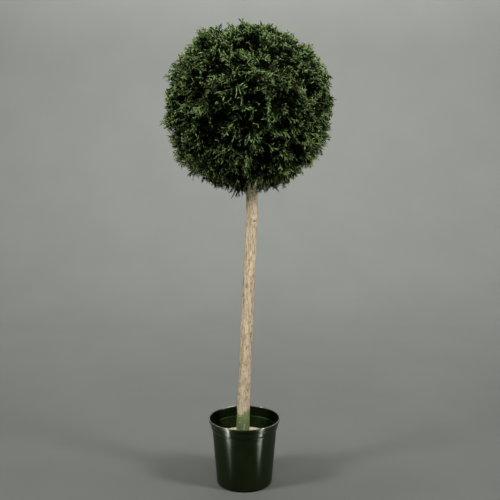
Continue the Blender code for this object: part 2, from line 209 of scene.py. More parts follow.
# Single sprays that arch over the front: sideways and upward places of their root, bend and tip as the camera
# sees them, and their tone, painted light that makes them lighter than most sprays
ARCHES = (
    ((0.049, 0.133), (0.022, 0.170), (-0.042, 0.190), 1.0),
    ((0.032, 0.150), (0.001, 0.164), (-0.032, 0.164), 0.9),
    ((0.049, 0.123), (0.022, 0.124), (-0.022, 0.106), 1.0),
    ((0.035, 0.110), (0.015, 0.103), (-0.005, 0.083), 0.8),
    ((0.045, 0.157), (0.062, 0.164), (0.079, 0.157), 0.9),
    ((0.052, 0.093), (0.072, 0.100), (0.092, 0.100), 0.8),
    ((0.059, 0.103), (0.069, 0.090), (0.069, 0.066), 0.9),
    ((-0.039, 0.063), (-0.090, 0.043), (-0.103, -0.028), 0.9),
    ((-0.042, 0.064), (-0.022, 0.063), (-0.002, 0.049), 0.6),
    ((-0.036, 0.012), (-0.042, -0.001), (-0.051, -0.018), 0.8),
    ((-0.030, 0.002), (-0.009, -0.005), (0.018, -0.011), 0.7),
    ((-0.074, -0.025), (-0.052, -0.042), (-0.014, -0.032), 0.7),
    ((0.060, 0.039), (0.069, 0.012), (0.077, -0.042), 1.0),
    ((0.082, -0.018), (0.092, -0.035), (0.094, -0.052), 0.8),
    ((-0.069, -0.055), (-0.059, -0.069), (-0.046, -0.079), 0.5),
    ((-0.090, -0.067), (-0.069, -0.082), (-0.086, -0.122), 0.6),
    ((0.037, -0.052), (0.032, -0.065), (0.018, -0.069), 0.6),
    ((0.024, -0.096), (0.022, -0.116), (0.021, -0.138), 0.7),
    ((0.028, -0.099), (0.038, -0.109), (0.046, -0.124), 0.8),
    ((-0.140, -0.001), (-0.153, -0.018), (-0.170, -0.038), 0.9),
    ((-0.160, 0.009), (-0.170, -0.011), (-0.187, -0.028), 0.8),
    ((-0.102, 0.112), (-0.120, 0.093), (-0.126, 0.056), 0.7),
)


class PotSettings(bpy.types.PropertyGroup):
    """Sizes and colour of the nursery pot."""

    wall: FloatProperty(name="Wall", description="Thickness of the wall", default=0.0024, unit="LENGTH")
    sides: IntProperty(name="Sides", description="Steps round the pot", default=128)
    colour: FloatVectorProperty(
        name="Colour", description="Green of the plastic", default=(0.0066, 0.0114, 0.0030), subtype="COLOR"
    )
    # The lip's colour, partly rubbed plastic and partly a painted highlight where the lip catches the light
    wear: FloatVectorProperty(
        name="Wear", description="Rubbed plastic on the lip", default=(0.140, 0.147, 0.130), subtype="COLOR"
    )
    roughness: FloatProperty(name="Roughness", description="Gloss of the plastic", default=0.45)


class FillSettings(bpy.types.PropertyGroup):
    """Sizes and colour of the plaster."""

    lumps: FloatProperty(name="Lumps", description="Height of its unevenness", default=0.0016, unit="LENGTH")
    colour: FloatVectorProperty(
        name="Colour", description="Cream of the plaster", default=(0.56, 0.47, 0.33), subtype="COLOR"
    )


class PoleSettings(bpy.types.PropertyGroup):
    """Grain and colours of the peeled pole."""

    sides: IntProperty(name="Sides", description="Cage steps round the pole", default=24)
    rings: IntProperty(name="Rings", description="Cage steps up the pole", default=44)
    grain: FloatProperty(name="Grain", description="Depth of the grain", default=0.0007, unit="LENGTH")
    light: FloatVectorProperty(
        name="Light wood", description="Bare wood", default=(0.480, 0.392, 0.270), subtype="COLOR"
    )
    dark: FloatVectorProperty(
        name="Dark wood", description="Streaks and flecks", default=(0.115, 0.077, 0.039), subtype="COLOR"
    )
    algae: FloatVectorProperty(
        name="Algae", description="Green film at the foot", default=(0.110, 0.159, 0.057), subtype="COLOR"
    )
    mould: FloatVectorProperty(
        name="Mould", description="Dark specks in the film", default=(0.040, 0.045, 0.040), subtype="COLOR"
    )
    algae_top: FloatProperty(
        name="Algae top", description="Height of the green film", default=0.269, unit="LENGTH"
    )


class FoliageSettings(bpy.types.PropertyGroup):
    """Sizes and colours of the ball."""

    radius: FloatProperty(name="Radius", description="Clipped outline", default=0.2852, unit="LENGTH")
    core: FloatProperty(name="Core", description="Radius of the moss core", default=0.217, unit="LENGTH")
    fork: FloatProperty(name="Fork", description="Where the twigs fork", default=0.220, unit="LENGTH")
    spray: FloatProperty(name="Spray", description="Usual length of a spray", default=0.045, unit="LENGTH")
    strand: FloatProperty(name="Strand", description="Half width of a strand", default=0.0018, unit="LENGTH")
    # The darkest green is nearly black: painted shade for the sprays deep inside the ball
    dark: FloatVectorProperty(
        name="Old green", description="Inner sprays", default=(0.0021, 0.0044, 0.0012), subtype="COLOR"
    )
    fresh: FloatVectorProperty(
        name="Fresh green", description="Outer sprays", default=(0.204, 0.285, 0.099), subtype="COLOR"
    )
    dry: FloatVectorProperty(
        name="Dry tips", description="The few withered tips", default=(0.340, 0.215, 0.105), subtype="COLOR"
    )
    twig: FloatVectorProperty(
        name="Twig", description="Twigs and ribs", default=(0.050, 0.045, 0.018), subtype="COLOR"
    )


class StageSettings(bpy.types.PropertyGroup):
    """Camera, floor and lights."""

    focal: FloatProperty(name="Lens", description="Lens in millimetres", default=72.0)
    distance: FloatProperty(name="Distance", description="Camera to the pot", default=3.396, unit="LENGTH")
    height: FloatProperty(name="Height", description="Camera above the floor", default=1.496, unit="LENGTH")
    aside: FloatProperty(
        name="Aside", description="Camera to the right of the pot", default=0.020, unit="LENGTH"
    )
    pitch: FloatProperty(
        name="Pitch", description="Camera looks down", default=math.radians(10.74), subtype="ANGLE"
    )
    floor: FloatVectorProperty(
        name="Floor", description="Pale grey floor", default=(0.127, 0.131, 0.121), subtype="COLOR"
    )


class TopiarySettings(bpy.types.PropertyGroup):
    """All the settings of the topiary."""

    pot: PointerProperty(type=PotSettings)
    fill: PointerProperty(type=FillSettings)
    pole: PointerProperty(type=PoleSettings)
    foliage: PointerProperty(type=FoliageSettings)
    stage: PointerProperty(type=StageSettings)


def deselect_all():
    """Leave nothing selected and no edit mode open."""
    if bpy.context.object is not None and bpy.context.object.mode != "OBJECT":
        bpy.ops.object.mode_set(mode="OBJECT")
    bpy.ops.object.select_all(action="DESELECT")


def select_only(piece):
    """Make one object the selected and active one."""
    deselect_all()
    piece.select_set(True)
    bpy.context.view_layer.objects.active = piece


@contextmanager
def editing(piece):
    """Edit mode with the whole of a piece selected, left again at the end."""
    select_only(piece)
    bpy.ops.object.mode_set(mode="EDIT")
    bpy.ops.mesh.select_all(action="SELECT")
    yield
    bpy.ops.object.mode_set(mode="OBJECT")


def even_normals():
    """Turn all the faces of the mesh in edit mode outwards."""
    bpy.ops.mesh.select_all(action="SELECT")
    bpy.ops.mesh.normals_make_consistent(inside=False)


def apply_modifiers(piece):
    """Apply all the modifiers of a piece in their order."""
    select_only(piece)
    for name in [modifier.name for modifier in piece.modifiers]:
        bpy.ops.object.modifier_apply(modifier=name)


def roughen(piece, name, size, depth, strength, level=0.5, direction="NORMAL"):
    """Push the skin of a piece in and out by clouds of a size."""
    clouds = bpy.data.textures.new(name, "CLOUDS")
    clouds.noise_scale = size
    clouds.noise_depth = depth
    relief = piece.modifiers.new(name, "DISPLACE")
    relief.texture = clouds
    relief.texture_coords = "LOCAL"
    relief.direction = direction
    relief.strength = strength
    relief.mid_level = level
    apply_modifiers(piece)


def settle(piece, name, node):
    """Name a finished piece, put its place into its mesh and tie it to the frame."""
    select_only(piece)
    bpy.ops.object.transform_apply(location=True, rotation=True, scale=True)
    piece.name = name
    piece.data.name = name
    bpy.data.collections[PLANT].objects.link(piece)
    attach(piece, "root")
    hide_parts(node)
    deselect_all()


def blend_table(table, height):
    """Read a table of (height, value) rows at a height."""
    for (low, start), (high, end) in zip(table, table[1:]):
        if height <= high:
            share = max(0.0, (height - low) / (high - low))
            return start + (end - start) * share
    return table[-1][1]


def pole_centre(height):
    """A point on the axis of the pole."""
    return Vector((blend_table(POLE_AXIS, height), 0.0, height))


def new_material(name, roughness, shine=0.5):
    """A material with its node tree and its shader."""
    material = bpy.data.materials.new(name)
    material.use_nodes = True
    tree = material.node_tree
    shader = tree.nodes["Principled BSDF"]
    shader.inputs["Roughness"].default_value = roughness
    shader.inputs["Specular IOR Level"].default_value = shine
    return material, tree, shader


def add_node(tree, kind, values=None, **settings):
    """A node with its settings and its input values."""
    node = tree.nodes.new(kind)
    for key, value in settings.items():
        setattr(node, key, value)
    for key, value in (values or {}).items():
        node.inputs[key].default_value = value
    return node


def noise_value(tree, rise, scale, detail, roughness=0.55, distortion=0.0):
    """A noise over the surface, drawn out upwards where its rise is below 1."""
    place = add_node(tree, "ShaderNodeTexCoord")
    mapping = add_node(tree, "ShaderNodeMapping", {"Scale": (1.0, 1.0, rise)})
    values = {"Scale": scale, "Detail": detail, "Roughness": roughness, "Distortion": distortion}
    noise = add_node(tree, "ShaderNodeTexNoise", values)
    tree.links.new(place.outputs["Object"], mapping.inputs["Vector"])
    tree.links.new(mapping.outputs["Vector"], noise.inputs["Vector"])
    return noise.outputs["Fac"]


def object_axes(tree):
    """The object coordinates one by one."""
    place = add_node(tree, "ShaderNodeTexCoord")
    axes = add_node(tree, "ShaderNodeSeparateXYZ")
    tree.links.new(place.outputs["Object"], axes.inputs["Vector"])
    return axes.outputs


def clouding_group():
    """The shared clouding of dust, stains and wear, built once."""
    tree = bpy.data.node_groups.get("clouding")
    if tree is not None:
        return tree
    tree = bpy.data.node_groups.new("clouding", "ShaderNodeTree")
    for name in ("Scale", "Detail", "Low", "High"):
        tree.interface.new_socket(name, in_out="INPUT", socket_type="NodeSocketFloat")
    tree.interface.new_socket("Share", in_out="OUTPUT", socket_type="NodeSocketFloat")
    given = add_node(tree, "NodeGroupInput")
    result = add_node(tree, "NodeGroupOutput")
    place = add_node(tree, "ShaderNodeTexCoord")
    noise = add_node(tree, "ShaderNodeTexNoise", {"Roughness": 0.55})
    levels = add_node(tree, "ShaderNodeMapRange", interpolation_type="SMOOTHSTEP")
    for source, target in (
        (place.outputs["Object"], noise.inputs["Vector"]),
        (given.outputs["Scale"], noise.inputs["Scale"]),
        (given.outputs["Detail"], noise.inputs["Detail"]),
        (noise.outputs["Fac"], levels.inputs["Value"]),
        (given.outputs["Low"], levels.inputs["From Min"]),
        (given.outputs["High"], levels.inputs["From Max"]),
        (levels.outputs["Result"], result.inputs["Share"]),
    ):
        tree.links.new(source, target)
    return tree


def clouding(tree, scale, low, high, detail=5.0):
    """A share from 0 to 1 that drifts over the surface, from the shared group."""
    values = {"Scale": scale, "Detail": detail, "Low": low, "High": high}
    return add_node(tree, "ShaderNodeGroup", values, node_tree=clouding_group()).outputs["Share"]


def remap(tree, value, low, high, to_low=0.0, to_high=1.0):
    """A value's range drawn out to another range, and held inside it."""
    values = {"From Min": low, "From Max": high, "To Min": to_low, "To Max": to_high}
    node = add_node(tree, "ShaderNodeMapRange", values, interpolation_type="SMOOTHSTEP")
    tree.links.new(value, node.inputs["Value"])
    return node.outputs["Result"]


def mix_colour(tree, share, first, second):
    """Two colours mixed by a share; each is a socket or a plain colour."""
    node = add_node(tree, "ShaderNodeMix", data_type="RGBA")
    tree.links.new(share, node.inputs["Factor"])
    for name, colour in (("A", first), ("B", second)):
        socket = next(s for s in node.inputs if s.name == name and s.type == "RGBA")
        if isinstance(colour, bpy.types.NodeSocket):
            tree.links.new(colour, socket)
        else:
            socket.default_value = (*colour[:3], 1.0)
    return next(s for s in node.outputs if s.type == "RGBA")


def tinted(colour, share, lift=0.0):
    """A colour made darker or lighter by a share, with a little grey added."""
    return [value * share + lift for value in colour]


def combine(tree, operation, *values):
    """Values joined by a Math node; each is a socket or a number."""
    node = add_node(tree, "ShaderNodeMath", operation=operation)
    for socket, value in zip(node.inputs, values):
        if isinstance(value, bpy.types.NodeSocket):
            tree.links.new(value, socket)
        else:
            socket.default_value = value
    return node.outputs["Value"]


def product(tree, first, *others):
    """Several shares multiplied."""
    for other in others:
        first = combine(tree, "MULTIPLY", first, other)
    return first


def add_bump(tree, shader, height, strength, distance):
    """Feed a height through a Bump node into the shader's normal."""
    bump = add_node(tree, "ShaderNodeBump", {"Strength": strength, "Distance": distance})
    tree.links.new(height, bump.inputs["Height"])
    tree.links.new(bump.outputs["Normal"], shader.inputs["Normal"])


def pot_material(settings):
    """Dark green glossy plastic with faint rubbing and dust, a painted sheen on its left and right sides, and
    a lip partly rubbed and partly painted highlight.
    """
    top = POT_HIGH[2]
    material, tree, shader = new_material("pot_green_plastic", settings.roughness, 0.30)
    rub = noise_value(tree, 0.18, 90.0, 3.0)
    axes = object_axes(tree)
    aside = combine(tree, "ABSOLUTE", axes["X"])
    # Painted sheen: the plastic is lighter towards its left and right sides, and dust drifts over it too
    dust = remap(tree, aside, 0.020, 0.095, 0.0, 0.9)
    dust = combine(tree, "MAXIMUM", clouding(tree, 14.0, 0.42, 0.72), dust)
    colour = mix_colour(tree, dust, settings.colour, tinted(settings.colour, 1.5, 0.001))
    # Partly rubbed plastic, partly a painted highlight: the top of the lip is paler towards the sides and the
    # front
    worn_and_highlit = product(
        tree,
        remap(tree, axes["Z"], top - 0.0022, top - 0.0009),
        clouding(tree, 40.0, 0.25, 0.62),
        remap(tree, aside, 0.030, 0.085, 0.30, 1.0),
        remap(tree, axes["Y"], 0.060, -0.020, 0.35, 1.0),
    )
    colour = mix_colour(tree, worn_and_highlit, colour, settings.wear)
    tree.links.new(colour, shader.inputs["Base Color"])
    below = remap(tree, axes["Z"], COLLAR_FOOT - 0.0044, COLLAR_FOOT - 0.0030, settings.roughness, 0.315)
    collar = remap(tree, axes["Z"], COLLAR_FOOT + 0.010, COLLAR_FOOT + 0.030, 0.0, 0.07)
    lip = remap(tree, axes["Z"], top - 0.0070, top - 0.0040)
    far_lip = product(tree, lip, remap(tree, axes["Y"], 0.020, 0.060, 0.0, 0.35))
    gloss = combine(tree, "ADD", combine(tree, "ADD", below, collar), far_lip)
    tree.links.new(combine(tree, "MULTIPLY_ADD", rub, 0.04, gloss), shader.inputs["Roughness"])
    shader.inputs["Specular Tint"].default_value = (0.90, 1.0, 0.78, 1.0)
    shader.inputs["Anisotropic"].default_value = 1.0
    shader.inputs["Anisotropic Rotation"].default_value = 0.25
    add_bump(tree, shader, rub, 0.02, 0.0003)
    return material


def pot_inside_material(settings):
    """The same plastic inside the pot, dull with dust, darker as painted shade and darkest above its ledge,
    with a painted highlight along the ledge.
    """
    material, tree, shader = new_material("pot_green_inside", 0.75, 0.0)
    dust = clouding(tree, 30.0, 0.40, 0.70)
    height = object_axes(tree)["Z"]
    # Painted shade: the inside is a darker copy of the outer plastic, darker still above the ledge, with dust
    # over it
    colour = mix_colour(tree, dust, tinted(settings.colour, 0.75), tinted(settings.colour, 1.4, 0.0012))
    colour = mix_colour(tree, remap(tree, height, 0.205, 0.212), colour, tinted(settings.colour, 0.50))
    # Painted highlight: a paler green line along the ledge, where it catches the light
    off = combine(tree, "ABSOLUTE", combine(tree, "SUBTRACT", height, LEDGE))
    ledge = product(tree, remap(tree, off, 0.0018, 0.0006), clouding(tree, 30.0, 0.35, 0.60))
    colour = mix_colour(tree, ledge, colour, (0.026, 0.040, 0.014))
    tree.links.new(colour, shader.inputs["Base Color"])
    add_bump(tree, shader, dust, 0.1, 0.001)
    return material


def fill_material(settings):
    """Cream plaster with grains and a few stains."""
    material, tree, shader = new_material("cream_plaster", 0.9)
    grain = noise_value(tree, 1.0, 420.0, 3.0)
    stain = clouding(tree, 22.0, 0.48, 0.78, 6.0)
    colour = mix_colour(tree, stain, settings.colour, tinted(settings.colour, 0.78))
    colour = mix_colour(tree, remap(tree, grain, 0.62, 0.74), colour, tinted(settings.colour, 0.55))
    tree.links.new(colour, shader.inputs["Base Color"])
    add_bump(tree, shader, grain, 0.5, 0.0008)
    return material


def pole_material(settings):
    """Peeled wood with upright streaks and flecks, and a patchy green film at its foot."""
    material, tree, shader = new_material("peeled_wood", 0.72)
    streaks = noise_value(tree, 0.06, 130.0, 5.0, 0.6)
    broad = noise_value(tree, 0.14, 34.0, 4.0, 0.55, 0.4)
    flecks = noise_value(tree, 0.32, 165.0, 6.0, 0.72)
    fibres = noise_value(tree, 0.045, 520.0, 3.0, 0.6)
    ragged = noise_value(tree, 0.5, 70.0, 6.0, 0.65)
    height = object_axes(tree)["Z"]
    middle = [0.5 * (a + b) for a, b in zip(settings.light, settings.dark)]
    colour = mix_colour(tree, remap(tree, broad, 0.50, 0.85), settings.light, middle)
    colour = mix_colour(tree, remap(tree, streaks, 0.50, 0.68, 0.0, 0.80), colour, middle)
    flecked = product(tree, remap(tree, flecks, 0.47, 0.62), remap(tree, broad, 0.34, 0.60, 0.45, 1.0))
    flecked = combine(tree, "MAXIMUM", flecked, remap(tree, fibres, 0.50, 0.68, 0.0, 0.75))
    colour = mix_colour(tree, flecked, colour, settings.dark)
    edge = combine(tree, "MULTIPLY_ADD", ragged, 0.10, height)
    film = product(
        tree,
        remap(tree, edge, settings.algae_top + 0.060, settings.algae_top + 0.040),
        clouding(tree, 150.0, 0.36, 0.42, 3.0),
        remap(tree, flecks, 0.30, 0.50, 0.72, 1.0),
    )
    specks = remap(tree, height, *SPECK_FADE, 0.0, 0.75)
    specks = product(tree, specks, clouding(tree, 170.0, 0.54, 0.60, 3.0))
    colour = mix_colour(tree, combine(tree, "MAXIMUM", film, specks), colour, settings.algae)
    mould = product(tree, remap(tree, height, *MOULD_FADE), clouding(tree, 210.0, 0.53, 0.60, 3.0))
    colour = mix_colour(tree, mould, colour, settings.mould)
    tree.links.new(colour, shader.inputs["Base Color"])
    add_bump(tree, shader, combine(tree, "MULTIPLY_ADD", flecks, -0.8, streaks), 0.55, 0.0010)
    return material


def foliage_material(name, colour, roughness):
    """One plain colour, for the sprays or twigs that it is dealt to."""
    material, tree, shader = new_material(name, roughness, 0.12)
    shader.inputs["Base Color"].default_value = (*colour, 1.0)
    return material


def painted_shade_core_material():
    """Moss painted nearly black, as painted shade for the deep inside of the ball."""
    material, tree, shader = new_material("moss_core", 0.95, 0.0)
    moss = noise_value(tree, 1.0, 160.0, 5.0)
    # Painted shade: both colours are nearly black
    colour = mix_colour(tree, moss, (0.0015, 0.0022, 0.0008), (0.005, 0.007, 0.0025))
    tree.links.new(colour, shader.inputs["Base Color"])
    add_bump(tree, shader, moss, 0.8, 0.004)
    return material


def floor_material(settings):
    """A pale floor that blends into the background far off, as the camera sees it."""
    material, tree, shader = new_material("pale_floor", 0.9, 0.2)
    scuffs = clouding(tree, 3.0, 0.35, 0.65, 6.0)
    colour = mix_colour(tree, scuffs, settings.floor, tinted(settings.floor, 0.96))
    axes = object_axes(tree)
    front = combine(tree, "MINIMUM", axes["Y"], 0.0)
    aside = combine(tree, "MULTIPLY", axes["X"], axes["X"])
    reach = combine(tree, "SQRT", combine(tree, "MULTIPLY_ADD", front, front, aside))
    rays = add_node(tree, "ShaderNodeLightPath")
    values = {"Color": (*BACKGROUND, 1.0), "Strength": BACKGROUND_STRENGTH}
    glow = add_node(tree, "ShaderNodeEmission", values)
    blend = add_node(tree, "ShaderNodeMixShader")
    output = next(node for node in tree.nodes if node.type == "OUTPUT_MATERIAL")
    for source, target in (
        (colour, shader.inputs["Base Color"]),
        (product(tree, remap(tree, reach, *FADE_REACH), rays.outputs["Is Camera Ray"]), blend.inputs[0]),
        (shader.outputs["BSDF"], blend.inputs[1]),
        (glow.outputs["Emission"], blend.inputs[2]),
        (blend.outputs["Shader"], output.inputs["Surface"]),
    ):
        tree.links.new(source, target)
    return material


def extruded_piece(rings, sides, fill_type="NOTHING"):
    """A skin extruded ring by ring from a circle, each ring a centre and a radius."""
    deselect_all()
    centre, radius = rings[0]
    bpy.ops.mesh.primitive_circle_add(vertices=sides, radius=radius, fill_type=fill_type, location=centre)
    piece = bpy.context.object
    bpy.ops.object.transform_apply(location=True)
    with editing(piece):
        for next_centre, next_radius in rings[1:]:
            bpy.ops.mesh.extrude_region_move(TRANSFORM_OT_translate={"value": next_centre - centre})
            ratio = next_radius / radius
            bpy.ops.transform.resize(value=(ratio, ratio, 1.0), center_override=next_centre)
            centre, radius = next_centre, next_radius
    return piece


def turned_piece(points, sides, closed_ends):
    """A turned piece from an outline of radius and height; its ends meet or are filled."""
    piece = extruded_piece([(Vector((0.0, 0.0, height)), radius) for radius, height in points], sides)
    with editing(piece):
        if closed_ends:
            bpy.ops.mesh.select_all(action="DESELECT")
            bpy.ops.mesh.select_non_manifold()
            bpy.ops.mesh.fill_holes(sides=0)
        else:
            bpy.ops.mesh.remove_doubles(threshold=0.00002)
        even_normals()
    return piece


def arc(centre, radius, start, end, steps):
    """Points on a round corner of an outline."""
    points = []
    for step in range(steps + 1):
        angle = math.radians(start + (end - start) * step / steps)
        points.append((centre[0] + radius * math.cos(angle), centre[1] + radius * math.sin(angle)))
    return points


class TOPIARY_OT_pot(bpy.types.Operator):
    """Turn the nursery pot with its rolled lip, collar and step"""

    bl_idname = "topiary.pot"
    bl_label = "Nursery pot"

    LIP = POT_HIGH[0]
    TOP = POT_HIGH[2]
    # Radii of the collar, the wall under its step and the foot, and the foot's rounding
    COLLAR = 0.1187
    UNDER_STEP = COLLAR - 0.0043
    FOOT = 0.0992
    HEEL = 0.009
    WALL_FOOT = (FOOT + 0.0007, HEEL + 0.010)
    WALL_STEPS = 12
    MIDDLE = 0.0004
    # Heights between which the skin that faces inwards takes the material of the inside
    INSIDE_LOW = 0.012
    INSIDE_HIGH = TOP - 0.004

    def execute(self, context):
        settings = context.scene.topiary.pot
        outline = self.outside() + self.inside(settings.wall)
        outline.append(outline[0])
        pot = turned_piece(outline, settings.sides, closed_ends=False)
        pot.data.materials.append(pot_material(settings))
        pot.data.materials.append(pot_inside_material(settings))
        for face in pot.data.polygons:
            radial = face.center.x * face.normal.x + face.center.y * face.normal.y
            if radial < -0.0005 and self.INSIDE_LOW < face.center.z < self.INSIDE_HIGH:
                face.material_index = 1
        bpy.ops.object.shade_smooth_by_angle(angle=math.radians(50.0))
        settle(pot, "nursery_pot", "pot")
        bpy.data.collections[SHINE].objects.link(pot)
        return {"FINISHED"}

    def outside(self):
        """The outline of the outside, from the lip down to the middle of the underside."""
        lip, top, collar, step, under = self.LIP, self.TOP, self.COLLAR, COLLAR_FOOT, self.UNDER_STEP
        points = arc((lip - 0.0013, top - 0.0013), 0.0013, 90, 0, 4)
        points.append((lip, top - 0.0072))
        points += arc((lip - 0.0010, top - 0.0072), 0.0010, -20, -80, 3)
        points += [
            (lip - 0.0030, top - 0.0100),
            (lip - 0.0048, top - 0.0135),
            (lip - 0.0057, top - 0.0175),
            (collar + 0.0010, step + 0.0080),
            (collar, step + 0.0030),
            (collar - 0.0006, step + 0.0020),
            (collar - 0.0036, step - 0.0016),
            (under, step - 0.0026),
            (under - 0.0002, step - 0.0050),
        ]
        wall_head = points[-1]
        for level in range(1, self.WALL_STEPS + 1):
            share = level / self.WALL_STEPS
            points.append([a + (b - a) * share for a, b in zip(wall_head, self.WALL_FOOT)])
        points += arc((self.FOOT - self.HEEL, self.HEEL), self.HEEL, 0, -90, 8)
        points += [(0.080, 0.0), (0.0786, 0.0008), (0.030, 0.0008), (0.0285, 0.0), (self.MIDDLE, 0.0)]
        return points

    def inside(self, wall):
        """The outline of the inside, from the middle of the bottom up to the lip."""
        lip, top, collar, step = self.LIP - wall, self.TOP, self.COLLAR - wall, COLLAR_FOOT + wall
        points = [(self.MIDDLE, wall)]
        points += arc((self.FOOT - self.HEEL, self.HEEL), self.HEEL - wall, -90, 0, 6)
        points += [
            (self.UNDER_STEP - wall, step - 0.0012),
            (self.UNDER_STEP - wall + 0.0006, step),
            (collar - 0.0006, step + 0.0002),
            (collar, step + 0.0012),
            (lip - 0.0057, top - 0.0175),
            (lip - 0.0048, top - 0.0120),
            (lip - 0.0026, top - 0.0065),
            (lip - 0.0013, top - 0.0018),
        ]
        points += arc((lip - 0.0001, top - 0.0012), 0.0012, 180, 90, 3)
        return points


class TOPIARY_OT_fill(bpy.types.Operator):
    """Pour the plaster, domed up round the foot of the pole"""

    bl_idname = "topiary.fill"
    bl_label = "Plaster"

    SIDE = FILL_HIGH[0]
    TOP = FILL_HIGH[2] + 0.0047
    # Heights of the underside and of the edge at the pot's wall
    LOW = 0.120
    EDGE = 0.168
    DOME_STEPS = 15

    def execute(self, context):
        settings = context.scene.topiary.fill
        side, top, edge = self.SIDE, self.TOP, self.EDGE
        outline = [(side - 0.0022, self.LOW), (side, edge - 0.0020), (side - 0.0030, edge + 0.0002)]
        for step in range(1, self.DOME_STEPS):
            share = step / self.DOME_STEPS
            outline.append((side - 0.003 - share * (side - 0.029), edge + (top - edge) * share ** 0.62))
        outline += [(0.024, top), (0.012, top), (0.0004, top)]
        fill = turned_piece(outline, 96, closed_ends=True)
        roughen(fill, "plaster_lumps", 0.018, 3, settings.lumps, 1.0, "Z")
        fill.data.materials.append(fill_material(settings))
        bpy.ops.object.shade_smooth_by_angle(angle=math.radians(50.0))
        settle(fill, "plaster_fill", "pot_fill")
        return {"FINISHED"}


def turn_between(bearing, other):
    """How far one bearing lies from another, in degrees to either side."""
    return (bearing - other + 180.0) % 360.0 - 180.0


def shape_pole(mesh):
    """Swell the knots and sink their hollows in the skin of the pole."""
    for vertex in mesh.vertices:
        arm = vertex.co - pole_centre(vertex.co.z)
        arm.z = 0.0
        radius = arm.length
        if radius < 0.004:
            continue
        bearing = math.degrees(math.atan2(arm.y, arm.x))
        push = 0.0
        for height, knot_bearing, size in POLE_KNOTS:
            turn = turn_between(bearing, knot_bearing) / KNOT_WIDTH_DEG
            rise = (vertex.co.z - height) / KNOT_HEIGHT
            push += size * math.exp(-rise * rise - turn ** 2)
        for height, hole_bearing, half, depth in KNOT_HOLES:
            sideways = math.radians(turn_between(bearing, hole_bearing)) * radius
            rise = vertex.co.z - height
            width = half * (1.15 + 0.8 * rise / half)
            off = (sideways / max(0.3 * half, width)) ** 2 + (rise / half) ** 2
            push -= depth * math.exp(-(off ** 2))
        vertex.co += arm.normalized() * push


class TOPIARY_OT_pole(bpy.types.Operator):
    """Grow the peeled pole with its lean, taper, knots and grain"""

    bl_idname = "topiary.pole"
    bl_label = "Peeled pole"

    FOOT = POLE_LOW[2]
    TOP = POLE_HIGH[2]
    TRIM = 0.0004

    def execute(self, context):
        settings = context.scene.topiary.pole
        rings = []
        for ring in range(settings.rings + 1):
            height = self.FOOT + (self.TOP - self.FOOT) * ring / settings.rings
            rings.append((pole_centre(height), blend_table(POLE_RADIUS, height)))
        pole = extruded_piece(rings, settings.sides, "NGON")
        with editing(pole):
            even_normals()
        smooth = pole.modifiers.new("rounded", "SUBSURF")
        smooth.levels = 3
        smooth.render_levels = 3
        apply_modifiers(pole)
        shape_pole(pole.data)
        roughen(pole, "pole_waves", 0.055, 1, 2.0 * settings.grain, 0.62)
        roughen(pole, "pole_grain", 0.006, 4, settings.grain, 0.62)
        self.trim_ends(pole)
        pole.data.materials.append(pole_material(settings))
        bpy.ops.object.shade_smooth_by_angle(angle=math.radians(60.0))
        settle(pole, "peeled_pole", "trunk")
        bpy.data.collections[WOOD].objects.link(pole)
        return {"FINISHED"}

    def trim_ends(self, pole):
        """Cut both ends flat again."""
        with editing(pole):
            for height, way in ((self.FOOT + self.TRIM, 1.0), (self.TOP - self.TRIM, -1.0)):
                bpy.ops.mesh.select_all(action="SELECT")
                bpy.ops.mesh.bisect(
                    plane_co=(0.0, 0.0, height), plane_no=(0.0, 0.0, way), use_fill=True, clear_inner=True
                )
            even_normals()


def ball_reach(direction, radius):
    """Radius of the clipped outline along a direction from the ball's centre."""
    reach = radius
    for angle, height in OUTLINE_BUMPS:
        bearing = math.radians(angle)
        bump = Vector((math.cos(bearing), 0.0, math.sin(bearing)))
        off = math.degrees(direction.angle(bump)) / BUMP_SPREAD_DEG
        reach += height * math.exp(-off * off)
    return reach


def length_to_reach(start, direction, radius):
    """How far a limb runs from its root to a radius of the ball."""
    out = start - BALL_CENTRE
    along = out.dot(direction)
    return -along + math.sqrt(max(0.0, along * along + radius * radius - out.length_squared))


def limb_point(start, direction, length, droop, share):
    """A point on a twig or spray that hangs over towards its tip."""
    drop = Vector((0.0, 0.0, -droop * length * share * share))
    return start + direction * (length * share) + drop


def limb_heading(direction, droop, share):
    """Which way a hanging limb points at a share of its length."""
    return (direction + Vector((0.0, 0.0, -2.0 * droop * share))).normalized()


def hits_pole(point, margin=0.002):
    """Whether a point comes too close to the pole."""
    if point.z > POLE_HIGH[2]:
        return False
    arm = point - pole_centre(point.z)
    arm.z = 0.0
    return arm.length < blend_table(POLE_RADIUS, point.z) + margin


def spiral_direction(index, count):
    """One of a count of directions that a golden spiral spreads evenly over a sphere."""
    height = 1.0 - 2.0 * (index + 0.5) / count
    ring = math.sqrt(1.0 - height * height)
    turn = index * GOLDEN_TURN
    return Vector((ring * math.cos(turn), ring * math.sin(turn), height))


def outward_at(point):
    """The direction from the ball's centre to a point."""
    return (point - BALL_CENTRE).normalized()


def branch_off(direction, across, turn, angle):
    """The way of a limb that leaves another at a turn round it and an angle to it."""
    sideways = Matrix.Rotation(turn, 3, direction) @ across
    return direction * math.cos(angle) + sideways * math.sin(angle)


def twig_frames():
    """The seeded rule: a direction, a fan side and its own random draws for each twig."""
    for index in range(TWIG_COUNT):
        draw = random.Random(TWIG_SEED * 1000 + index)
        direction = spiral_direction(index, TWIG_COUNT)
        direction += Vector([draw.uniform(-0.10, 0.10) for _ in range(3)])
        direction.normalize()
        across = direction.cross(Vector([draw.gauss(0, 1) for _ in range(3)]))
        yield index, draw, direction, across.normalized()


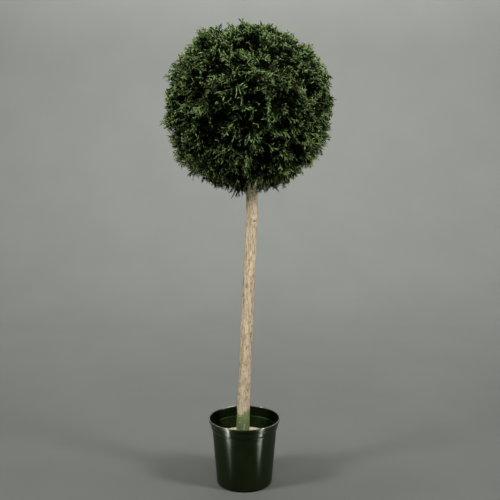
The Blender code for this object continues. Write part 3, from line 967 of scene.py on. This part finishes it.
def on_front(aside, up, radius):
    """The point of a sphere round the ball's centre that the camera sees at a place."""
    stage = bpy.context.scene.topiary.stage
    eye = Vector((stage.aside, -stage.distance, stage.height))
    ray = (BALL_CENTRE + Vector((aside, 0.0, up)) - eye).normalized()
    out = eye - BALL_CENTRE
    along = ray.dot(out)
    return eye - ray * (along + math.sqrt(along * along - out.length_squared + radius * radius))


def pocket_depth(point, pockets):
    """How deep a point of the ball lies in one of the dark hollows, from 0 to 1."""
    return max(math.exp(-(((point - centre).length / radius) ** 4)) for centre, radius in pockets)


def tube_faces(rings):
    """Faces of a three-sided tube that ends in a point."""
    faces = []
    for ring in range(rings - 1):
        for corner in range(3):
            after = (corner + 1) % 3
            low, high = 3 * ring, 3 * ring + 3
            faces.append((low + corner, low + after, high + after))
            faces.append((low + corner, high + after, high + corner))
    last = 3 * (rings - 1)
    for corner in range(3):
        faces.append((last + corner, last + (corner + 1) % 3, last + 3))
    faces.append((0, 2, 1))
    return np.array(faces)


# A strand's rings: share of its length and of its half width; it ends in a point
STRAND_RINGS = ((0.0, 0.70), (0.68, 1.0))
STRAND_FLATNESS = 0.65
# Corners and faces of a strand, and which of its faces make its tip
STRAND_CORNERS = 7
STRAND_FACES = 10
STRAND_TIP = slice(6, 9)

# Kinds of sprays: how many patterns, first seed, strands to a side, their reach for a spray of
# unit length, their half width against a usual strand's, and their least and most splay
USUAL_SPRAYS = (12, 0, 5, 0.52, 0.95, (16, 46))
SLIM_SPRAYS = (4, 100, 4, 0.26, 0.70, (20, 45))
LONG_SPRAYS = (4, 200, 8, 0.20, 0.55, (18, 42))
# Where the strands stand on a rib, and how often and how far along a strand forks
RIB_FIRST = 0.06
RIB_STRETCH = 0.80
FORK_CHANCE = 0.4
FORK_PLACE = 0.40


def add_strand(shape, root, aim, length, bend, half):
    """One scale-leaved strand: a bent three-sided blade that ends in a point."""
    corners, faces = shape
    faces.extend(tube_faces(len(STRAND_RINGS)) + len(corners))
    across = np.cross((0.0, 0.0, 1.0), aim)
    across /= np.linalg.norm(across)
    above = np.cross(aim, across)
    for along, width in STRAND_RINGS:
        centre = root + aim * (length * along) + bend * (length * along * along)
        for bearing in (math.pi / 2, math.pi * 7 / 6, math.pi * 11 / 6):
            side = across * math.cos(bearing) + above * (STRAND_FLATNESS * math.sin(bearing))
            corners.append(centre + side * (half * width))
    corners.append(root + aim * length + bend * length)


def spray_pattern(seed, rows, reach, half, splay):
    """A flat spray of unit length: a rib with forked strands to both sides in turn."""
    draw = random.Random(seed)
    shape = ([], [])
    add_strand(shape, np.zeros(3), np.array((0.0, 1.0, 0.0)), 1.0, np.zeros(3), half * 0.8)
    for row in range(2 * rows):
        side = 1.0 if row % 2 else -1.0
        share = RIB_FIRST + RIB_STRETCH * (row + draw.uniform(-0.3, 0.3)) / (2 * rows)
        length = (reach * (1.0 - share) ** 0.6 + 0.06) * draw.uniform(0.75, 1.2)
        angle = math.radians(draw.uniform(*splay))
        root = np.array((0.0, share, 0.0))
        aim = np.array((side * math.sin(angle), math.cos(angle), draw.uniform(-0.45, 0.45)))
        bend = np.array((side * draw.uniform(-0.55, 0.55), draw.uniform(-0.1, 0.1), draw.uniform(-0.4, 0.4)))
        add_strand(shape, root, aim, length, bend, half)
        if draw.random() < FORK_CHANCE:
            fork = root + aim * (length * FORK_PLACE) + bend * (length * FORK_PLACE * FORK_PLACE)
            wider = angle + math.radians(draw.uniform(14.0, 30.0)) * draw.choice((-1.0, 1.0))
            aim = np.array((side * math.sin(wider), math.cos(wider), draw.uniform(-0.4, 0.4)))
            add_strand(shape, fork, aim, length * 0.55, bend * 0.5, half * 0.9)
    return np.array(shape[0]), np.array(shape[1])


def spray_patterns(kind, half):
    """All the patterns of one kind of spray."""
    count, seed, rows, reach, width, splay = kind
    return [spray_pattern(seed + order, rows, reach, half * width, splay) for order in range(count)]


class Mass:
    """Corners, faces and tones of many small shapes that are joined into one mesh."""

    def __init__(self):
        self.corners, self.faces, self.tones, self.count = [], [], [], 0

    def add(self, corners, faces, tones):
        """Join one more shape."""
        self.corners.append(corners)
        self.faces.append(faces + self.count)
        self.tones.append(tones)
        self.count += len(corners)

    def to_object(self, name, materials):
        """Make the joined mesh an object."""
        corners = np.concatenate(self.corners).astype(np.float32)
        faces = np.concatenate(self.faces).astype(np.int32)
        tones = np.concatenate(self.tones).astype(np.int32)
        mesh = bpy.data.meshes.new(name)
        mesh.vertices.add(len(corners))
        mesh.vertices.foreach_set("co", corners.ravel())
        mesh.loops.add(faces.size)
        mesh.loops.foreach_set("vertex_index", faces.ravel())
        mesh.polygons.add(len(faces))
        mesh.polygons.foreach_set("loop_start", np.arange(0, faces.size, 3, dtype=np.int32))
        for material in materials:
            mesh.materials.append(material)
        mesh.polygons.foreach_set("material_index", tones)
        mesh.update(calc_edges=True)
        mesh.validate()
        piece = bpy.data.objects.new(name, mesh)
        bpy.context.scene.collection.objects.link(piece)
        return piece


def grow_tube(mass, start, direction, length, droop, thick, thin, rings):
    """A three-sided twig along a hanging limb."""
    across = direction.orthogonal().normalized()
    upward = direction.cross(across)
    corners = []
    for ring in range(rings):
        share = ring / rings
        centre = limb_point(start, direction, length, droop, share)
        radius = thick + (thin - thick) * share
        for corner in range(3):
            bearing = math.tau * corner / 3
            corners.append(centre + (across * math.cos(bearing) + upward * math.sin(bearing)) * radius)
    corners.append(limb_point(start, direction, length, droop, 1.0))
    faces = tube_faces(rings)
    mass.add(np.array(corners), faces, np.zeros(len(faces)))


class TOPIARY_OT_foliage(bpy.types.Operator):
    """Grow the ball: twigs, limbs and flat sprays of scale leaves by the seeded rule"""

    bl_idname = "topiary.foliage"
    bl_label = "Foliage ball"

    # Greens from the darkest, painted shade, to the freshest, and bands of sprays from the top of the ball
    # down
    TONES = 6
    BANDS = 6
    # How deep a twig stands in the core, how its limbs hang, and how many of them are fine
    SINK = 0.02
    DROOP = 0.16
    FINE_LIMBS = 4
    # Sprays along a limb: how close they stand, the shortest, and how much they turn outward
    SPRAY_SPACING = 0.0085
    SHORTEST = 0.014
    OUTWARD = 1.3
    # Sprays inside the ball, and those that stand past the clipping
    INNER_SPRAYS = 5
    INNER_LENGTH = 0.055
    LONG_SPRAY = 0.060
    # Spots of the outline that are tested, how bare one may be, and the twig that fills it
    GAP_TESTS = 1500
    GAP = 0.0125
    GAP_TWIG = 0.045
    # Tones: how many tips are dry, how much lighter tips are and how much darker roots are, partly fresher
    # growth and partly painted light on the tips and painted shade at the roots
    DRY_SHARE = 0.006
    TIP_LIFT = 1.2
    ROOT_DROP = 0.75
    # The sphere on which the hollows and the places of painted light and shade lie
    PLACES_RADIUS = 0.27

    def execute(self, context):
        self.settings = context.scene.topiary.foliage
        half = self.settings.strand / self.settings.spray
        self.patterns = spray_patterns(USUAL_SPRAYS, half)
        self.slim_patterns = spray_patterns(SLIM_SPRAYS, half)
        self.long_patterns = spray_patterns(LONG_SPRAYS, half)
        self.pockets = [(on_front(aside, up, self.PLACES_RADIUS), size) for aside, up, size in POCKETS]
        self.places = [(on_front(aside, up, self.PLACES_RADIUS), *rest) for aside, up, *rest in LIGHT_AND_SHADE_PLACES]
        self.leaves = [Mass() for _ in range(self.BANDS)]
        self.tips = []
        self.twigs = Mass()
        for index, draw, direction, across in twig_frames():
            self.grow_twig(index * self.BANDS // TWIG_COUNT, draw, direction, across)
        self.fill_gaps()
        self.grow_long_tips()
        self.grow_arches()
        greens = self.mix_greens()
        wood = foliage_material("twig_brown", self.settings.twig, 0.8)
        for band, mass in enumerate(self.leaves):
            name = f"sprays_band_{band + 1}"
            settle(mass.to_object(name, greens), name, "foliage_ball")
        settle(self.twigs.to_object("ball_twigs", [wood]), "ball_twigs", "foliage_ball")
        return {"FINISHED"}

    def mix_greens(self):
        """Plain greens from the darkest, painted shade, to the freshest, and the brown of the dry tips at the
        end.
        """
        greens = []
        for tone in range(self.TONES):
            share = tone / (self.TONES - 1)
            colour = [a * (b / a) ** share for a, b in zip(self.settings.dark, self.settings.fresh)]
            greens.append(foliage_material(f"thuja_green_{tone + 1}", colour, 0.55))
        return greens + [foliage_material("thuja_dry_tip", self.settings.dry, 0.7)]

    def grow_twig(self, band, draw, direction, across):
        """One twig out of the core, with an end limb, side limbs, fine limbs and inner sprays."""
        start = BALL_CENTRE + direction * (self.settings.core - self.SINK)
        length = self.settings.fork * draw.uniform(0.94, 1.06) - self.settings.core + self.SINK
        fork = start + direction * length
        if hits_pole(fork):
            return
        grow_tube(self.twigs, start, direction, length + 0.01, 0.0, 0.0030, 0.0016, 2)
        self.grow_limb(band, draw, fork - direction * 0.004, direction, across)
        for order in range(SIDE_SPRAYS):
            share = 0.35 + 0.6 * order / (SIDE_SPRAYS - 1)
            turn = math.tau * order / SIDE_SPRAYS + draw.uniform(-0.4, 0.4)
            angle = math.radians(SIDE_ANGLE_DEG + draw.uniform(-8.0, 8.0))
            aim = branch_off(direction, across, turn, angle)
            root = start + direction * (length * share)
            self.grow_limb(band, draw, root, aim, aim.cross(direction).normalized())
        for order in range(self.FINE_LIMBS):
            turn = math.tau * (order + draw.uniform(0.2, 0.8)) / self.FINE_LIMBS
            aim = branch_off(direction, across, turn, math.radians(draw.uniform(18.0, 36.0)))
            root = start + direction * (length * draw.uniform(0.55, 1.0))
            self.grow_limb(band, draw, root, aim, aim.cross(direction).normalized())
        for order in range(self.INNER_SPRAYS):
            turn = math.tau * (order + draw.random()) / self.INNER_SPRAYS
            sideways = Matrix.Rotation(turn, 3, direction) @ across
            base = start + direction * (length * draw.uniform(0.3, 1.0))
            aim = (sideways + direction * draw.uniform(0.1, 0.5)).normalized()
            pattern = self.patterns[draw.randrange(len(self.patterns))]
            spread = direction.cross(sideways)
            self.lay_spray(band, draw, base, aim, spread, self.INNER_LENGTH, pattern, 0.0)

    def grow_limb(self, band, draw, root, aim, across):
        """A limb out to the outline, with sprays to both sides and one at its end."""
        reach = ball_reach(outward_at(root + aim * 0.1), self.settings.radius) * draw.uniform(0.96, 1.02)
        length = length_to_reach(root, aim, reach)
        across = Matrix.Rotation(math.radians(draw.uniform(-60.0, 60.0)), 3, aim) @ across
        carry = max(0.02, length - 0.6 * self.settings.spray)
        grow_tube(self.twigs, root, aim, carry, self.DROOP, 0.0016, 0.0007, 3)
        stations = max(3, round(carry / self.SPRAY_SPACING))
        for station in range(stations):
            share = ((station + 0.5 + draw.uniform(-0.3, 0.3)) / stations) ** 0.8
            side = 1.0 if station % 2 else -1.0
            heading = limb_heading(aim, self.DROOP, share)
            angle = math.radians(draw.uniform(30.0, 55.0)) * side
            facing = across.cross(heading).normalized()
            twist = Matrix.Rotation(math.radians(draw.gauss(0.0, 40.0)), 3, heading)
            direction = twist @ (Matrix.Rotation(angle, 3, facing) @ heading)
            spread = twist @ (Matrix.Rotation(angle, 3, facing) @ across)
            base = limb_point(root, aim, carry, self.DROOP, share)
            direction += outward_at(base) * self.OUTWARD * draw.uniform(0.4, 1.3)
            self.grow_spray(band, draw, base, direction, spread)
        tip = limb_point(root, aim, carry, self.DROOP, 1.0)
        heading = limb_heading(aim, self.DROOP, 1.0)
        self.grow_spray(band, draw, tip - heading * 0.004, heading + outward_at(tip) * 0.5, across)

    def grow_spray(self, band, draw, base, direction, spread):
        """One flat spray, cut short at the outline and left out where it meets the pole or a hollow."""
        direction = direction.normalized()
        spread = (spread - direction * spread.dot(direction)).normalized()
        reach = ball_reach(outward_at(base + direction * 0.04), self.settings.radius)
        reach *= draw.triangular(0.920, 1.08, 0.966)
        length = min(self.settings.spray * draw.uniform(0.7, 1.4), length_to_reach(base, direction, reach))
        tone_draw = draw.random()
        tip = base + direction * length
        if length < self.SHORTEST or hits_pole(tip):
            return
        if pocket_depth(tip, self.pockets) > 0.35 and draw.random() < 0.88:
            return
        self.tips.append(tip)
        pattern = self.patterns[draw.randrange(len(self.patterns))]
        self.lay_spray(band, draw, base, direction, spread, length, pattern, tone_draw)

    def fill_gaps(self):
        """One more small twig with its spray wherever the outline was left bare."""
        tips = np.array([tuple(tip) for tip in self.tips])
        for index in range(self.GAP_TESTS):
            draw = random.Random(TWIG_SEED * 3000 + index)
            direction = spiral_direction(index, self.GAP_TESTS)
            spot = BALL_CENTRE + direction * (0.965 * ball_reach(direction, self.settings.radius))
            if np.min(np.linalg.norm(tips - np.array(spot), axis=1)) < self.GAP:
                continue
            tilt = Vector([draw.gauss(0.0, 0.25) for _ in range(3)])
            base = BALL_CENTRE + direction * draw.uniform(0.230, 0.245)
            spread = direction.cross(Vector([draw.gauss(0.0, 1.0) for _ in range(3)]))
            root = base - direction * self.GAP_TWIG
            grow_tube(self.twigs, root, direction, self.GAP_TWIG, 0.0, 0.0012, 0.0008, 2)
            self.grow_spray(index * self.BANDS // self.GAP_TESTS, draw, base, direction + tilt, spread)

    def lay_spray(self, band, draw, base, direction, spread, length, pattern, tone_draw):
        """Bend a spray pattern by chance, and put it in its place."""
        facing = spread.cross(direction).normalized()
        if facing.z < 0.0:
            spread, facing = -spread, -facing
        bow = facing * (draw.uniform(-0.18, 0.22) * length)
        bow += spread * (draw.uniform(-0.18, 0.18) * length)
        bow.z -= draw.uniform(0.02, 0.22) * length
        cup = draw.uniform(0.0, 0.8)
        self.place_spray(band, draw, pattern, (base, direction * length, bow), spread, facing, cup, tone_draw)

    def place_spray(self, band, draw, pattern, line, spread, facing, cup, tone_draw):
        """Carry a spray pattern along a bent line."""
        base, run, bow = (np.array(part) for part in line)
        corners, faces = pattern
        across, along, lift = corners[:, 0], corners[:, 1], corners[:, 2]
        length = np.linalg.norm(run)
        raised = lift - cup * across * across
        placed = np.outer(across, spread) * length + np.outer(raised, facing) * length
        placed += base + np.outer(along, run) + np.outer(along * along, bow)
        tips = placed[STRAND_CORNERS - 1 :: STRAND_CORNERS]
        self.leaves[band].add(placed, faces, self.deal_tones(draw, tips, Vector(base + run * 0.6), tone_draw))

    def deal_tones(self, draw, tips, middle, tone_draw):
        """The tone of each face of a spray, with painted light and shade: darker deep inside the ball,
        lighter far out, lighter or darker in the given places, lighter towards the top and towards the tips.
        """
        far = (np.linalg.norm(tips - np.array(BALL_CENTRE), axis=1) / self.settings.radius - 0.86) / 0.14
        # Painted shade: sprays that end deep inside the ball get the darker greens, those far out the lighter
        # ones
        level = -1.60 + 4.7 * np.clip(far, 0.0, 1.15) + 1.8 * (tone_draw - 0.5) + draw.gauss(0.0, 1.1)
        # Painted light and shade in the given places
        for spot, reach, lift in self.places:
            level += lift * math.exp(-(((middle - spot).length / reach) ** 2))
        # Painted light: sprays higher up the ball get a little lighter greens
        level += 0.2 * outward_at(middle).z
        level += np.array([draw.gauss(0.0, 1.8) for _ in tips])
        # Painted shade at the strands' roots and painted light at their tips, partly also fresher growth
        root_tones = np.clip(np.round(level - self.ROOT_DROP), 0, self.TONES - 1)
        tip_tones = np.clip(np.round(level + self.TIP_LIFT), 0, self.TONES - 1)
        if draw.random() < self.DRY_SHARE and far.max() > 0.9:
            tip_tones[int(np.argmax(far))] = self.TONES
        tones = np.repeat(root_tones, STRAND_FACES).reshape(-1, STRAND_FACES)
        tones[:, STRAND_TIP] = tip_tones[:, None]
        return tones.ravel()

    def grow_long_tips(self):
        """The slim sprays that stand past the clipping."""
        for index, (angle, reach) in enumerate(LONG_TIPS):
            draw = random.Random(TWIG_SEED * 1000 + TWIG_COUNT + index)
            bearing = math.radians(angle)
            direction = Vector((math.cos(bearing), draw.uniform(-0.08, 0.08), math.sin(bearing))).normalized()
            base = BALL_CENTRE + direction * (reach - 0.062)
            spread = direction.cross(Vector((0.0, 1.0, 0.0)))
            pattern = self.slim_patterns[draw.randrange(len(self.slim_patterns))]
            self.lay_spray(0, draw, base, direction, spread, self.LONG_SPRAY, pattern, 0.8)

    def grow_arches(self):
        """The single sprays that arch over the front."""
        for index, (root, bend, tip, tone) in enumerate(ARCHES):
            draw = random.Random(TWIG_SEED * 2000 + index)
            root = on_front(*root, self.settings.radius * 0.93)
            bend = on_front(*bend, self.settings.radius * 1.03)
            tip = on_front(*tip, self.settings.radius * 0.97)
            outward = outward_at(bend)
            spread = (tip - root).cross(outward).normalized()
            patterns = self.long_patterns if (tip - root).length > 0.045 else self.patterns
            pattern = patterns[draw.randrange(len(patterns))]
            line = (root, 2.0 * (bend - root), root - 2.0 * bend + tip)
            self.place_spray(1, draw, pattern, line, spread, outward, 0.2, 0.5 + 0.6 * tone)


class TOPIARY_OT_core(bpy.types.Operator):
    """Shape the dark moss core that the twigs stand in; its near black is painted shade"""

    bl_idname = "topiary.core"
    bl_label = "Moss core"

    def execute(self, context):
        deselect_all()
        radius = context.scene.topiary.foliage.core
        bpy.ops.mesh.primitive_ico_sphere_add(subdivisions=6, radius=radius, location=BALL_CENTRE)
        core = bpy.context.object
        bpy.ops.object.transform_apply(location=True)
        roughen(core, "moss_lumps", 0.03, 4, 0.03)
        core.data.materials.append(painted_shade_core_material())
        bpy.ops.object.shade_smooth()
        settle(core, "moss_core", "foliage_ball")
        return {"FINISHED"}


class TOPIARY_OT_stage(bpy.types.Operator):
    """Set the camera, the pale floor and the studio lights"""

    bl_idname = "topiary.stage"
    bl_label = "Stage"

    SENSOR = 36.0
    FLOOR_SIZE = 14.0
    FLOOR_MIDDLE = -3.2
    FLOOR_BACK = FLOOR_MIDDLE + FLOOR_SIZE / 2
    BACKDROP = 6.0
    BEND = 1.6
    # What little light the background itself gives
    DIM = 0.01

    def execute(self, context):
        settings = context.scene.topiary.stage
        self.place_camera(settings)
        self.lay_floor(settings)
        self.hang_lights()
        self.light_world()
        context.scene.view_settings.view_transform = "Standard"
        return {"FINISHED"}

    def place_camera(self, settings):
        """The photo's own view."""
        deselect_all()
        bpy.ops.object.camera_add(
            location=(settings.aside, -settings.distance, settings.height),
            rotation=(math.radians(90.0) - settings.pitch, 0.0, 0.0),
        )
        camera = bpy.context.object
        camera.data.sensor_width = self.SENSOR
        camera.data.lens = settings.focal
        bpy.context.scene.camera = camera

    def lay_floor(self, settings):
        """A pale floor that sweeps up into a plain backdrop."""
        deselect_all()
        bpy.ops.mesh.primitive_plane_add(size=self.FLOOR_SIZE, location=(0.0, self.FLOOR_MIDDLE, 0.0))
        floor = bpy.context.object
        bpy.ops.object.transform_apply(location=True)
        self.edit_back_edge(floor)
        bpy.ops.mesh.extrude_region_move(TRANSFORM_OT_translate={"value": (0.0, 0.0, self.BACKDROP)})
        bpy.ops.object.mode_set(mode="OBJECT")
        self.edit_back_edge(floor)
        bpy.ops.mesh.bevel(offset=self.BEND, segments=24, profile=0.5)
        bpy.ops.object.mode_set(mode="OBJECT")
        bpy.ops.object.shade_smooth()
        floor.data.materials.append(floor_material(settings))
        floor.name = "studio_floor"

    def edit_back_edge(self, floor):
        """Go into edit mode with nothing but the floor's back edge selected."""
        select_only(floor)
        bpy.ops.object.mode_set(mode="EDIT")
        bpy.ops.mesh.select_mode(type="EDGE")
        bpy.ops.mesh.select_all(action="DESELECT")
        bpy.ops.object.mode_set(mode="OBJECT")
        for edge in floor.data.edges:
            ends = [floor.data.vertices[corner].co for corner in edge.vertices]
            edge.select = all(abs(end.y - self.FLOOR_BACK) < 0.01 and abs(end.z) < 0.01 for end in ends)
        bpy.ops.object.mode_set(mode="EDIT")

    def hang_lights(self):
        """Strips for the pot's gloss, a fill for the pole, boxes all round and far ones for the floor."""
        lit = {name: bpy.data.collections.new(name) for name in (SHINE, PLANT, GROUND, WOOD)}
        lit[GROUND].objects.link(bpy.data.objects["studio_floor"])
        for name, place, aim, size, power, spread in LIGHTS:
            deselect_all()
            bpy.ops.object.light_add(type="AREA", location=place)
            light = bpy.context.object
            light.name = name
            light.data.shape = "RECTANGLE"
            light.data.size, light.data.size_y = size
            light.data.energy = power
            light.data.spread = math.radians(spread)
            light.rotation_euler = (Vector(aim) - Vector(place)).to_track_quat("-Z", "Y").to_euler()
            for ending, receivers in RECEIVERS:
                if name.endswith(ending):
                    light.light_linking.receiver_collection = lit[receivers]
            light.visible_glossy = name.endswith("strip") or name in ("top_box", "backdrop_box")
            light.visible_diffuse = not name.endswith("strip")

    def light_world(self):
        """The background as the camera sees it, which hardly lights the scene."""
        world = bpy.data.worlds.new("studio")
        world.use_nodes = True
        tree = world.node_tree
        background = tree.nodes["Background"]
        background.inputs["Color"].default_value = (*BACKGROUND, 1.0)
        rays = add_node(tree, "ShaderNodeLightPath")
        seen = remap(tree, rays.outputs["Is Camera Ray"], 0.0, 1.0, self.DIM, BACKGROUND_STRENGTH)
        tree.links.new(seen, background.inputs["Strength"])
        bpy.context.scene.world = world


class TOPIARY_PT_panel(bpy.types.Panel):
    """The topiary's pieces in the sidebar"""

    bl_label = "Thuja ball topiary"
    bl_idname = "TOPIARY_PT_panel"
    bl_space_type = "VIEW_3D"
    bl_region_type = "UI"
    bl_category = "Topiary"

    def draw(self, context):
        column = self.layout.column()
        for operator in OPERATORS:
            column.operator(operator.bl_idname)


OPERATORS = (
    TOPIARY_OT_stage,
    TOPIARY_OT_pot,
    TOPIARY_OT_fill,
    TOPIARY_OT_pole,
    TOPIARY_OT_core,
    TOPIARY_OT_foliage,
)
SETTINGS = (PotSettings, FillSettings, PoleSettings, FoliageSettings, StageSettings, TopiarySettings)
CLASSES = SETTINGS + OPERATORS + (TOPIARY_PT_panel,)


def register():
    """Add the settings, the operators and the panel."""
    for kind in CLASSES:
        bpy.utils.register_class(kind)
    bpy.types.Scene.topiary = PointerProperty(type=TopiarySettings)


def unregister():
    """Take them away again."""
    del bpy.types.Scene.topiary
    for kind in reversed(CLASSES):
        bpy.utils.unregister_class(kind)


def main():
    """Build the topiary."""
    register()
    bpy.ops.topiary.stage()
    bpy.ops.topiary.pot()
    bpy.ops.topiary.fill()
    bpy.ops.topiary.pole()
    bpy.ops.topiary.core()
    bpy.ops.topiary.foliage()


if __name__ == "__main__":
    main()
